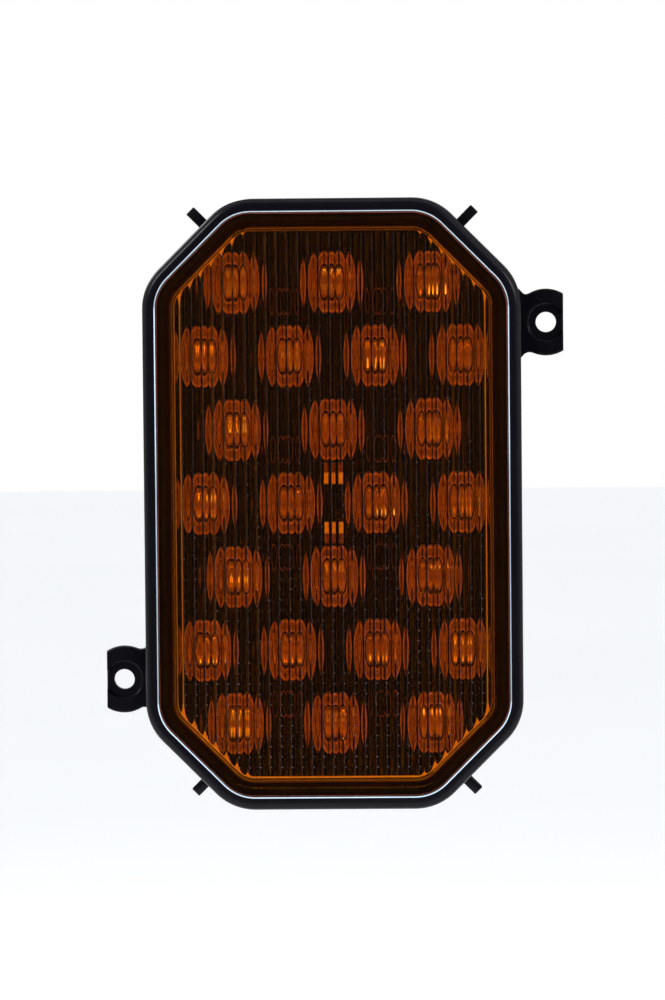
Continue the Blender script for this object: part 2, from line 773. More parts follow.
def dots_tree():
    """A grid of small round bumps, kept where the grid lies inside a corner-cut window."""
    tree, source, sink = new_tree(
        "Lens Dots",
        [
            ("Columns", "NodeSocketInt"),
            ("Rows", "NodeSocketInt"),
            ("Pitch X", "NodeSocketFloat"),
            ("Pitch Z", "NodeSocketFloat"),
            ("Cut Reach", "NodeSocketFloat"),
            ("Dot Radius", "NodeSocketFloat"),
            ("Front", "NodeSocketFloat"),
            ("Material", "NodeSocketMaterial"),
        ],
    )
    nodes, links = tree.nodes, tree.links
    grid = nodes.new("GeometryNodeMeshGrid")
    columns, rows = source.outputs["Columns"], source.outputs["Rows"]
    links.new(columns, grid.inputs["Vertices X"])
    links.new(rows, grid.inputs["Vertices Y"])
    wide = maths(tree, "MULTIPLY", source.outputs["Pitch X"], maths(tree, "SUBTRACT", columns, 1.0))
    high = maths(tree, "MULTIPLY", source.outputs["Pitch Z"], maths(tree, "SUBTRACT", rows, 1.0))
    links.new(wide, grid.inputs["Size X"])
    links.new(high, grid.inputs["Size Y"])
    where = nodes.new("GeometryNodeInputPosition")
    split = nodes.new("ShaderNodeSeparateXYZ")
    stand = nodes.new("ShaderNodeCombineXYZ")
    links.new(where.outputs["Position"], split.inputs["Vector"])
    links.new(split.outputs["X"], stand.inputs["X"])
    links.new(source.outputs["Front"], stand.inputs["Y"])
    links.new(split.outputs["Y"], stand.inputs["Z"])
    upright = nodes.new("GeometryNodeSetPosition")
    links.new(grid.outputs["Mesh"], upright.inputs["Geometry"])
    links.new(stand.outputs["Vector"], upright.inputs["Position"])
    where_up = nodes.new("GeometryNodeInputPosition")
    split_up = nodes.new("ShaderNodeSeparateXYZ")
    links.new(where_up.outputs["Position"], split_up.inputs["Vector"])
    reach = maths(
        tree,
        "ADD",
        maths(tree, "ABSOLUTE", split_up.outputs["X"]),
        maths(tree, "ABSOLUTE", split_up.outputs["Z"]),
    )
    inside = maths(tree, "LESS_THAN", reach, source.outputs["Cut Reach"])
    dot = nodes.new("GeometryNodeMeshIcoSphere")
    dot.inputs["Subdivisions"].default_value = 1
    links.new(source.outputs["Dot Radius"], dot.inputs["Radius"])
    even = nodes.new("GeometryNodeSetShadeSmooth")
    links.new(dot.outputs["Mesh"], even.inputs["Geometry"])
    spread = nodes.new("GeometryNodeInstanceOnPoints")
    spread.inputs["Scale"].default_value = (1.0, 0.5, 1.0)
    links.new(upright.outputs["Geometry"], spread.inputs["Points"])
    links.new(inside, spread.inputs["Selection"])
    links.new(even.outputs["Geometry"], spread.inputs["Instance"])
    real = nodes.new("GeometryNodeRealizeInstances")
    skin = nodes.new("GeometryNodeSetMaterial")
    links.new(spread.outputs["Instances"], real.inputs["Geometry"])
    links.new(real.outputs["Geometry"], skin.inputs["Geometry"])
    links.new(source.outputs["Material"], skin.inputs["Material"])
    links.new(skin.outputs["Geometry"], sink.inputs["Geometry"])
    return tree


def run_tree(piece, tree, sharp, **values):
    """Runs a node tree on a piece with the named inputs, and leaves a plain mesh."""
    step = piece.modifiers.new(tree.name, "NODES")
    step.node_group = tree
    names = {item.name: item.identifier for item in tree.interface.items_tree if item.in_out == "INPUT"}
    for name, value in values.items():
        step[names[name.replace("_", " ")]] = value
    return settle(piece, sharp)


def copies(name, part, places, material, sharp=35):
    """One object with a copy of the part at each (x, y, z) place; the part is dropped."""
    mesh = bpy.data.meshes.new(name)
    mesh.from_pydata(places, [], [])
    piece = bpy.data.objects.new(name, mesh)
    bpy.context.scene.collection.objects.link(piece)
    run_tree(piece, copies_tree(), sharp, Part=part, Material=material)
    bpy.data.meshes.remove(part.data)
    return piece


# ---- Housing ----


def ear_outline():
    """Points (x, z) of the right-hand ear about its hole, as the CAD ear has them."""
    h = settings().housing
    edge = BODY_WIDTH / 2 - h.ear_across
    flat, top_r, low_r = 4.7 * MM, 1.5 * MM, 2.4 * MM
    flat_a = math.acos(flat / h.ear_radius)

    def arc(cx, cz, r, start, end, steps):
        turn = [start + (end - start) * i / steps for i in range(steps + 1)]
        return [(cx + r * math.cos(a), cz + r * math.sin(a)) for a in turn]

    top_x, low_x = edge + top_r, edge + low_r
    top_z = math.sqrt((h.ear_radius + top_r) ** 2 - top_x**2)
    low_z = -math.sqrt((h.ear_radius + low_r) ** 2 - low_x**2)
    top_a, low_a = math.atan2(top_z, top_x), math.atan2(low_z, low_x)
    inside = edge - 2 * MM
    return (
        arc(0, 0, h.ear_radius, flat_a, top_a, 16)
        + arc(top_x, top_z, top_r, top_a - math.pi, -math.pi, 6)
        + [(inside, top_z), (inside, low_z)]
        + arc(low_x, low_z, low_r, math.pi, low_a + math.pi, 8)
        + arc(0, 0, h.ear_radius, 2 * math.pi + low_a, 2 * math.pi - flat_a, 10)
    )


def reach_at(points, angle):
    """Distance from the middle to a closed outline of points in one direction."""
    ux, uz = math.cos(angle), math.sin(angle)
    best = None
    for (ax, az), (bx, bz) in zip(points, points[1:] + points[:1]):
        ex, ez = bx - ax, bz - az
        across = ux * ez - uz * ex
        if abs(across) < 1e-14:
            continue
        far = (ax * ez - az * ex) / across
        share = (ax * uz - az * ux) / across
        if far > 0 and -1e-6 <= share <= 1 + 1e-6 and (best is None or far < best):
            best = far
    return best


def ear_front(radius, x):
    """Depth of the ear's front below its top face: a round seat with a soft rim, and a web that
    falls away towards the body."""
    seat, floor, rim, web_start, web_fall = 1.0 * MM, 4.7 * MM, 5.1 * MM, -2.2 * MM, 0.14
    web = web_fall * max(web_start - x, 0)
    if radius <= floor:
        return seat
    share = min((radius - floor) / (rim - floor), 1)
    blend = share * share * (3 - 2 * share)
    return seat * (1 - blend) + min(web, 0.6 * MM) * blend


def build_ear(bm, turned):
    """One ear as rings about its hole: the seat, the rounded outline, and the back."""
    h = settings().housing
    points = ear_outline()
    angles = sorted(
        {round(math.atan2(z, x) % (2 * math.pi), 5) for x, z in points}
        | {round(2 * math.pi * i / 96, 5) for i in range(96)}
    )
    reach = {a: reach_at(points, a) for a in angles}
    soft, hole = 0.5 * MM, h.ear_hole
    top = -h.ear_thick
    radii = [hole + 0.2 * MM, 3.6 * MM, 4.5 * MM, 4.65 * MM, 4.8 * MM, 5.0 * MM, 5.2 * MM, 5.4 * MM]
    radii += [5.7 * MM, 6.5 * MM, 7.5 * MM, 8.5 * MM, 9.5 * MM, 11 * MM]
    rings = [[(hole, 0.0) for a in angles], [(hole, top + 1.2 * MM) for a in angles]]
    for k, r in enumerate(radii):
        margin = soft + 0.02 * MM * (len(radii) - k)
        ring = []
        for a in angles:
            clipped = min(r, reach[a] - margin)
            ring.append((clipped, top + ear_front(clipped, clipped * math.cos(a))))
        rings.append(ring)
    for s in range(6):
        bend = math.pi / 2 * s / 5
        ring = []
        for a in angles:
            r = reach[a] - soft * (1 - math.sin(bend))
            ring.append((r, top + ear_front(r - soft, r * math.cos(a)) + soft * (1 - math.cos(bend))))
        rings.append(ring)
    rings.append([(reach[a], 0.0) for a in angles])
    side = -1 if turned else 1
    loops = [
        [
            bm.verts.new(
                (side * (h.ear_across + r * math.cos(a)), y, side * (h.ear_up + r * math.sin(a)))
            )
            for a, (r, y) in zip(angles, ring)
        ]
        for ring in rings
    ]
    for low, high in zip(loops, loops[1:] + loops[:1]):
        for i in range(len(angles)):
            j = (i + 1) % len(angles)
            bm.faces.new((low[i], low[j], high[j], high[i]))


def build_tabs(bm):
    """The four locating tabs, square to the corner cuts."""
    h = settings().housing
    reach = (BODY_WIDTH / 2 + BODY_HEIGHT / 2 - h.corner_leg) / math.sqrt(2)
    sideways, thick, rooted, bevel = 28.6 * MM, 2.4 * MM, 1.5 * MM, 0.25 * MM
    low = (reach - rooted, -h.ear_thick, sideways - h.tab_width / 2)
    high = (reach + h.tab_length, -h.ear_thick + thick, sideways + h.tab_width / 2)
    for sx in (1, -1):
        for sz in (1, -1):
            flip = Matrix.Diagonal((sx, 1, sz, 1)) @ Matrix.Rotation(-math.pi / 4, 4, "Y")
            block(bm, low, high, flip, bevel)


class SIGNALLAMP_OT_housing(bpy.types.Operator):
    """Build the black housing with its rim, skirt, tub, ears, tabs and ribs"""

    bl_idname = "signal_lamp.housing"
    bl_label = "Housing"

    def execute(self, context):
        h = settings().housing
        rim_y, back, tub_end = HOUSING_LOW.y, 0.0, HOUSING_HIGH.y
        bond_film, ledge_thick, rear_wall = 0.06 * MM, 4.6 * MM, 2.5 * MM
        bevel, soft, tub_round, rear_cap = 0.35 * MM, 0.4 * MM, 1.2 * MM, 9 * MM
        ledge = LENS_LOW.y + settings().lens.flange_thick + bond_film
        under, groove_floor = ledge + ledge_thick, ledge + GROOVE_DEPTH
        path = rounded(
            [
                (h.tub_inner, tub_end - rear_wall, 0),
                (h.tub_inner, ledge, 0.3 * MM),
                (GROOVE_IN, ledge, 0),
                (GROOVE_IN, groove_floor, 0),
                (GROOVE_OUT, groove_floor, 0),
                (GROOVE_OUT, ledge, 0),
                (h.rim_width, ledge, 0.15 * MM),
                (h.rim_width, rim_y + bevel, 0.1 * MM),
                (h.rim_width - bevel, rim_y, 0.1 * MM),
                (0, rim_y, h.rim_round),
                (0, back, soft),
                (h.skirt_wall, back, soft),
                (h.skirt_wall, under, soft),
                (h.tub_outer, under, soft),
                (h.tub_outer, tub_end, tub_round),
                (rear_cap, tub_end, 0),
            ],
            steps=6,
        )
        bm = bmesh.new()
        outline_loft(bm, path)
        piece = mesh_object("housing_shell", bm, [housing_plastic(), polished_edge()])
        for face in piece.data.polygons:
            on_bevel = rim_y < face.center.y < rim_y + bevel and -0.8 < face.normal.y < -0.6
            towards_middle = face.normal.x * face.center.x + face.normal.z * face.center.z < 0
            face.material_index = int(on_bevel and towards_middle)
        bm = bmesh.new()
        build_ear(bm, False)
        build_ear(bm, True)
        build_tabs(bm)
        extras = mesh_object("housing_extras", bm, [housing_plastic()])
        combine(piece, extras, "UNION")
        gap = h.tub_outer - h.skirt_wall
        for name, part_size, places in self.rib_sets(gap, under):
            bm = bmesh.new()
            half = Vector(part_size) / 2
            block(bm, -half, half, bevel=0.15 * MM)
            part = mesh_object("rib", bm, [housing_plastic()])
            place_piece(copies(name, part, places, housing_plastic()), "housing_black")
        place_piece(piece, "housing_black", "housing")
        return {"FINISHED"}

    def rib_sets(self, gap, under):
        """Sizes and places of the ribs that join the skirt to the tub, sunk 0.5 mm into both."""
        middle = settings().housing.skirt_wall + gap / 2
        thick, sunk = 1.6 * MM, 0.5 * MM
        deep, y = -under, under / 2 - sunk
        side, end = BODY_WIDTH / 2 - middle, BODY_HEIGHT / 2 - middle
        across = [(sx * side, y, z * MM) for sx in (-1, 1) for z in (-50, -25, 0, 25, 50)]
        along = [(x * MM, y, sz * end) for sz in (-1, 1) for x in (-20, 0, 20)]
        return (
            ("side_ribs", (gap + 2 * sunk, deep, thick), across),
            ("end_ribs", (thick, deep, gap + 2 * sunk), along),
        )


# ---- Lens ----


class SIGNALLAMP_OT_lens(bpy.types.Operator):
    """Build the clear amber lens with its fluted window and fine dots"""

    bl_idname = "signal_lamp.lens"
    bl_label = "Lens"

    def execute(self, context):
        lens = settings().lens
        front, ledge = LENS_LOW.y, LENS_LOW.y + lens.flange_thick
        edge, tongue = LENS_EDGE, ledge + TONGUE_DEPTH
        soft, front_cap, back_cap = 0.2 * MM, LENS_EDGE + 4 * MM, 7.0 * MM
        path = rounded(
            [
                (front_cap, front, 0),
                (edge, front, 0.4 * lens.edge_round),
                (edge, ledge, soft),
                (TONGUE_OUT, ledge, 0),
                (TONGUE_OUT, tongue, soft),
                (TONGUE_IN, tongue, soft),
                (TONGUE_IN, ledge, soft / 2),
                (back_cap, ledge, 0),
            ],
            steps=6,
        )
        bm = bmesh.new()
        outline_loft(bm, path)
        piece = mesh_object("fluted_lens", bm, [lens_amber()])
        combine(piece, self.fluted_pad(ledge), "UNION", sharp=30)
        piece.data.materials.append(lens_rim())
        for face in piece.data.polygons:
            on_edge = face.center.y < front + lens.edge_round and -0.97 < face.normal.y < -0.1
            face.material_index = len(piece.data.materials) - 1 if on_edge else 0
        place_piece(piece, "lens_amber", "lens")
        self.bond(ledge)
        self.lip(ledge)
        self.dots(front)
        self.lines(front)
        return {"FINISHED"}

    def bond(self, ledge):
        """The bead in the housing's groove, spread out in a thin film behind the flange."""
        fit, film = 0.05 * MM, 0.02 * MM
        outer, inner = LENS_EDGE + 0.1 * MM, 7.25 * MM
        groove_out, groove_in, deep = GROOVE_OUT + fit, GROOVE_IN - fit, ledge + GROOVE_DEPTH - fit
        near = ledge + 0.03 * MM
        far = near + film
        path = [(outer, near), (inner, near), (inner, far), (groove_in, far), (groove_in, deep)]
        path += [(groove_out, deep), (groove_out, far), (outer, far)]
        bm = bmesh.new()
        outline_ring(bm, path)
        place_piece(mesh_object("bond_bead", bm, [bond_bead()]), "sealant", "lens_bond")

    def lip(self, ledge):
        """The matt lip behind the lens, round the window, with a groove in its front."""
        lens = settings().lens
        sunk, groove_deep, fit = 0.4 * MM, 0.35 * MM, 0.05 * MM
        near, far = lens.window_inset + fit, lens.window_inset + lens.lip_wall
        front, back = ledge - sunk, ledge + lens.lip_depth
        step, third = front + groove_deep, (far - near) / 3
        path = [
            (near, front), (near, back), (far, back), (far, front),
            (far - third, front), (far - third, step), (near + third, step), (near + third, front),
        ]
        bm = bmesh.new()
        outline_ring(bm, path)
        # Faces take slot 0 on the walls, 1 on the front, 2 on the front's corner cuts, 3 in the groove.
        piece = mesh_object("lens_lip", bm, [lip_amber(), lip_edge(), lip_corner(), baffle_dark()])
        leg = settings().housing.corner_leg
        for face in piece.data.polygons:
            at_side = BODY_WIDTH / 2 - abs(face.center.x) < leg
            at_end = BODY_HEIGHT / 2 - abs(face.center.z) < leg
            if face.normal.y < -0.5:
                lit = 2 if at_side and at_end else 1
                face.material_index = lit if face.center.y < front + 0.1 * MM else 3
        place_piece(piece, "lens_amber")

    def lines(self, front):
        """Fine upright lines on the lens's face, one beside each flute."""
        lens = settings().lens
        inside = lens.window_inset + 1.5 * MM
        aside, half, proud = 0.36 * MM, 0.12 * MM, 0.02 * MM
        count = int((BODY_WIDTH / 2 - inside) / lens.flute_pitch)
        bm = bmesh.new()
        for i in range(-count, count + 1):
            x = i * lens.flute_pitch - aside
            tall = half_height(x, inside)
            block(bm, (x - half, front - proud, -tall), (x + half, front + proud, tall))
        place_piece(mesh_object("lens_lines", bm, [fine_marks()]), "lens_amber")

    def fluted_pad(self, ledge):
        """The window's thicker panel, with flutes on its back."""
        lens = settings().lens
        back, front = ledge + 1.0 * MM, ledge - 0.5 * MM
        half_width = BODY_WIDTH / 2 - lens.window_inset
        per_flute = 14
        step = lens.flute_pitch / per_flute
        count = int(half_width / step)
        inner = [lens.flute_phase + i * step for i in range(-count, count)]
        columns = [-half_width, *inner, half_width]
        bm = bmesh.new()
        rows = []
        for x in columns:
            z = half_height(x, lens.window_inset)
            corners = ((x, back, -z), (x, back, z), (x, front, z), (x, front, -z))
            rows.append([bm.verts.new(p) for p in corners])
        for left, right in zip(rows, rows[1:]):
            for i in range(4):
                j = (i + 1) % 4
                bm.faces.new((left[i], left[j], right[j], right[i]))
        bm.faces.new(rows[0])
        bm.faces.new(rows[-1])
        pad = mesh_object("fluted_pad", bm, [lens_amber()])
        return run_tree(
            pad,
            flutes_tree(),
            30,
            Pitch=lens.flute_pitch,
            Phase=lens.flute_phase,
            Slope=lens.flute_slope,
            Groove_Share=lens.groove_share,
            Back_Plane=(back + front) / 2,
            Material=lens_amber(),
        )

    def dots(self, front):
        """The grid of fine round dots on the lens's face."""
        lens = settings().lens
        inside = lens.window_inset + 1.2 * MM
        columns = 2 * int((BODY_WIDTH / 2 - inside) / lens.flute_pitch) + 1
        rows = 2 * int((BODY_HEIGHT / 2 - inside) / lens.dot_pitch) + 1
        cut = BODY_WIDTH / 2 + BODY_HEIGHT / 2 - settings().housing.corner_leg
        piece = bpy.data.objects.new("lens_dots", bpy.data.meshes.new("lens_dots"))
        bpy.context.scene.collection.objects.link(piece)
        run_tree(
            piece,
            dots_tree(),
            60,
            Columns=columns,
            Rows=rows,
            Pitch_X=lens.flute_pitch,
            Pitch_Z=lens.dot_pitch,
            Cut_Reach=cut - inside * math.sqrt(2),
            Dot_Radius=lens.dot_radius,
            Front=front,
            Material=dot_marks(),
        )
        place_piece(piece, "lens_amber")


# ---- Optics ----


class SIGNALLAMP_OT_optics(bpy.types.Operator):
    """Build the round collimator optics, one for each LED"""

    bl_idname = "signal_lamp.optics"
    bl_label = "Optics"

    def execute(self, context):
        o = settings().optics
        foot_y, front = OPTIC_HIGH.y, OPTIC_LOW.y
        rim, pocket_deep, crown_rise = 1.2 * MM, 2.6 * MM, 1.1 * MM
        cup_radius, cup_deep, cup_dome = 2.5 * MM, 2.6 * MM, 0.9 * MM
        lip, bowl = front + rim, front + pocket_deep
        steps, flare = 14, 0.62
        side = []
        for i in range(steps + 1):
            t = i / steps
            side.append((o.foot + (o.radius - 0.3 * MM - o.foot) * t**flare, foot_y - (foot_y - lip) * t))
        face = [
            (o.radius - 0.15 * MM, lip - 0.1 * MM),
            (o.radius, lip - 0.25 * MM),
            (o.radius, front + 0.15 * MM),
            (o.radius - 0.15 * MM, front),
            (o.pocket + 0.2 * MM, front),
            (o.pocket, front + 0.2 * MM),
            (o.pocket - 0.3 * MM, bowl),
        ]
        crown = []
        for i in range(9):
            a = math.pi / 2 * i / 8
            crown.append(((o.pocket - 0.6 * MM) * math.cos(a), bowl - crown_rise * math.sin(a)))
        cup = []
        for i in range(6):
            a = math.pi / 2 * i / 5
            cup.append((cup_radius * math.sin(a), foot_y - cup_deep - cup_dome * math.cos(a)))
        outside = side + face + crown
        inside = cup + [(cup_radius + 0.2 * MM, foot_y)]
        for node in OPTICS:
            bm = bmesh.new()
            revolve(bm, outside, o.segments, node_centre(node))
            revolve(bm, inside, o.segments, node_centre(node))
            self.close_foot(bm, foot_y)
            piece = mesh_object(node.replace("optic", "collimator"), bm, [optic_clear()])
            self.mark_rings(piece.data, node_centre(node))
            place_piece(piece, "optic_clear", node)
        return {"FINISHED"}

    def mark_rings(self, mesh, middle):
        """Stores where each point lies about the optic's middle, as shares of its radius."""
        radius = settings().optics.radius
        marks = {name: mesh.attributes.new(name, "FLOAT", "POINT") for name in ("ring", "across", "up")}
        for i, vertex in enumerate(mesh.vertices):
            across, up = (vertex.co.x - middle[0]) / radius, (vertex.co.z - middle[1]) / radius
            for name, value in (("ring", math.hypot(across, up)), ("across", across), ("up", up)):
                marks[name].data[i].value = value

    def close_foot(self, bm, foot_y):
        """Closes the flat ring between the foot and the cup for the LED."""
        rings = [e for e in bm.edges if e.is_boundary and all(abs(v.co.y - foot_y) < 1e-6 for v in e.verts)]
        bmesh.ops.bridge_loops(bm, edges=rings)


class SIGNALLAMP_OT_baffle(bpy.types.Operator):
    """Build the dark plate round the optics, with its windows and moulding marks"""

    bl_idname = "signal_lamp.baffle"
    bl_label = "Baffle"

    def execute(self, context):
        o = settings().optics
        thick, edge_bevel, room, bell = 1.6 * MM, 0.2 * MM, 0.3 * MM, 0.6 * MM
        front, inset = BAFFLE_LOW.y, settings().housing.tub_inner + 0.4 * MM
        back = front + thick
        bm = bmesh.new()
        outline_loft(bm, [(inset, back), (inset, front + edge_bevel), (inset + edge_bevel, front)])
        piece = mesh_object("baffle_plate", bm, [baffle_dark()])
        bm = bmesh.new()
        hole = o.radius + 0.15 * MM
        profile = [(0, -2 * MM), (hole + bell, -2 * MM), (hole, 0.2 * MM), (hole, 3 * MM), (0, 3 * MM)]
        revolve(bm, profile, o.segments, (0, 0))
        cutter = mesh_object("aperture", bm, [baffle_dark()])
        places = [(x, front, z) for x, z in map(node_centre, OPTICS)]
        combine(piece, copies("apertures", cutter, places, baffle_dark()), "DIFFERENCE")
        bm = bmesh.new()
        for node in CLIPS:
            low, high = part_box(node)
            low.y, high.y = front - MM, back + MM
            block(bm, low - Vector((room, 0, room)), high + Vector((room, 0, room)))
        combine(piece, mesh_object("windows", bm, [baffle_dark()]), "DIFFERENCE")
        bm = bmesh.new()
        inner, outer, bevel, sunk, proud = 3.35 * MM, 3.65 * MM, 0.1 * MM, 0.1 * MM, 0.12 * MM
        mark = [(inner, sunk), (inner, bevel - proud), (inner + bevel, -proud)]
        mark += [(outer - bevel, -proud), (outer, bevel - proud), (outer, sunk)]
        revolve(bm, mark + mark[:1], 48, (0, 0))
        ring = mesh_object("mark", bm, [mark_brown()])
        across, rows = 13.25 * MM, (54.3, 14.55, -14.55, -54.3)
        marks = [(sx * across, front, z * MM) for sx in (-1, 1) for z in rows]
        rings = copies("moulding_marks", ring, marks, mark_brown())
        place_piece(piece, "baffle_dark", "baffle")
        place_piece(rings, "baffle_dark")
        return {"FINISHED"}


# ---- Inside and rear ----


class SIGNALLAMP_OT_clips(bpy.types.Operator):
    """Build the two clear clip posts that stand in the baffle's windows"""

    bl_idname = "signal_lamp.clips"
    bl_label = "Clip posts"

    def execute(self, context):
        slot, head_thick, step_deep, overlap = 0.25 * MM, MM, 0.6 * MM, 0.1 * MM
        leg_across, leg_half, leg_tall, bevel = 1.05 * MM, 0.45 * MM, 2.2 * MM, 0.18 * MM
        for node in CLIPS:
            low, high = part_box(node)
            middle = (low + high) / 2
            outward = 1 if middle.z > 0 else -1
            split = middle.z + outward * 0.2 * MM
            half_width, half_tall = (high.x - low.x) / 2, (high.z - low.z) / 2
            near = sorted((middle.z - outward * half_tall, split + outward * overlap))
            far = sorted((split, middle.z + outward * half_tall))
            step = low.y + step_deep
            corners = []
            for side in (-1, 1):
                leg = middle.x + side * leg_across
                leg_low = (leg - leg_half, step + 0.5 * MM, middle.z - leg_tall)
                x = sorted((middle.x + side * slot, middle.x + side * half_width))
                corners.append(((x[0], low.y, near[0]), (x[1], step + head_thick, near[1])))
                corners.append(((x[0], step, far[0]), (x[1], step + head_thick, far[1])))
                corners.append((leg_low, (leg + leg_half, high.y, middle.z + leg_tall)))
            piece = joined_blocks(f"{node}_post", corners, bevel, clip_bright())
            piece.data.materials.append(clip_dim())
            for face in piece.data.polygons:
                dim = outward * (face.center.z - split) > 0 or face.center.y > step + 0.4 * MM
                face.material_index = int(dim)
            place_piece(piece, "optic_clear", node)
        return {"FINISHED"}


class SIGNALLAMP_OT_inside(bpy.types.Operator):
    """Give the boards, LEDs, plates and small parts inside their finishes"""

    bl_idname = "signal_lamp.inside"
    bl_label = "Inside parts"

    def execute(self, context):
        white = finish("Solder Mask White", (0.8, 0.8, 0.76), (0.7, 0.7, 0.66), (0.3, 0.45), IOR=1.5)
        looks = {
            "led_board": white,
            "thermal_pad": finish("Thermal Film", (0.42, 0.48, 0.54), (0.36, 0.42, 0.48), (0.6, 0.8)),
            "heat_spreader": finish(
                "Spreader Metal", (0.72, 0.73, 0.74), (0.62, 0.63, 0.64), (0.3, 0.45), Metallic=1.0
            ),
            "board_link": finish("Link Gold", (0.83, 0.62, 0.28), (0.7, 0.5, 0.2), (0.2, 0.35), Metallic=1.0),
            "driver_board": finish("Solder Mask Green", (0.04, 0.22, 0.09), (0.03, 0.16, 0.07), (0.25, 0.4)),
            "power_inductor": finish("Ferrite", (0.19, 0.19, 0.2), (0.14, 0.14, 0.15), (0.5, 0.7)),
            "filter_capacitors": finish(
                "Can Metal", (0.72, 0.72, 0.73), (0.62, 0.62, 0.63), (0.2, 0.3), Metallic=1.0
            ),
            "vent_membrane": finish("Membrane", (0.86, 0.86, 0.84), (0.78, 0.78, 0.76), (0.8, 0.9)),
            "connector_seal": finish("Seal Rubber", (0.03, 0.03, 0.03), (0.02, 0.02, 0.02), (0.6, 0.8)),
            "connector_terminals": finish(
                "Terminal Brass", (0.74, 0.56, 0.24), (0.62, 0.46, 0.18), (0.2, 0.35), Metallic=1.0
            ),
        }
        chip = finish("Chip Epoxy", (0.03, 0.03, 0.032), (0.022, 0.022, 0.024), (0.5, 0.65))
        yellow = finish("LED Phosphor", (0.95, 0.66, 0.1), (0.85, 0.55, 0.06), (0.2, 0.3))
        looks |= {"driver_chip": chip, "surge_diode": chip}
        looks |= {name: yellow for name in LED_ROWS}
        for node, material in looks.items():
            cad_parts[node].material_slots[0].material = material
        return {"FINISHED"}


class SIGNALLAMP_OT_screws(bpy.types.Operator):
    """Build the pan-head screws of the boards and of the connector"""

    bl_idname = "signal_lamp.screws"
    bl_label = "Screws"

    def execute(self, context):
        steel = finish("Zinc Steel", (0.6, 0.6, 0.62), (0.5, 0.5, 0.52), (0.25, 0.4), Metallic=1.0)
        signs = [(sx, sz) for sx in (-1, 1) for sz in (-1, 1)]
        board = [(sx * x, sz * z) for sx, sz in signs for x, z in ((39.5, 20), (13.3, 70))]
        driver = [(sx * 25, sz * 40) for sx, sz in signs]
        header = [(-14.5, -27), (14.5, -27)]
        for node, spots, head_r, head_t, shank_r, facing in (
            ("board_screws", board, 2.4, 1.5, 1.25, 1),
            ("driver_screws", driver, 2.4, 1.5, 1.25, 1),
            ("header_screws", header, 1.9, 1.2, 0.95, -1),
        ):
            low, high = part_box(node)
            length = (high.y - low.y) / MM - head_t
            seat = low.y + head_t * MM if facing > 0 else high.y - head_t * MM
            part = self.pan_screw(head_r, head_t, shank_r, length, facing, steel)
            places = [(x * MM, seat, z * MM) for x, z in spots]
            place_piece(copies(node.replace("screws", "screw_set"), part, places, steel), "screw_steel", node)
        return {"FINISHED"}

    def pan_screw(self, head_r, head_t, shank_r, length, facing, material):
        """One screw at the origin, sizes in millimetres, its head towards -Y when facing is 1."""
        pitch = 0.5
        profile = [(0, -head_t), (0.6 * head_r, -head_t), (0.9 * head_r, -0.8 * head_t)]
        profile += [(head_r, -0.4 * head_t), (head_r, 0), (shank_r, 0)]
        for i in range(int(length / pitch) - 3):
            profile += [(shank_r, pitch * (i + 0.5)), (0.85 * shank_r, pitch * (i + 1))]
        profile += [(0.8 * shank_r, length - 0.8), (0.3 * shank_r, length), (0, length)]
        bm = bmesh.new()
        revolve(bm, [(r * MM, facing * y * MM) for r, y in profile], 24, (0, 0))
        piece = mesh_object("screw", bm, [material])
        wide, deep = 0.6 * head_r, 0.8
        for x, z in ((wide, 0.3), (0.3, wide)):
            y = sorted((facing * -(head_t + 1), facing * -(head_t - deep)))
            bm = bmesh.new()
            block(bm, (-x * MM, y[0] * MM, -z * MM), (x * MM, y[1] * MM, z * MM))
            combine(piece, mesh_object("recess", bm, [material]), "DIFFERENCE")
        return piece


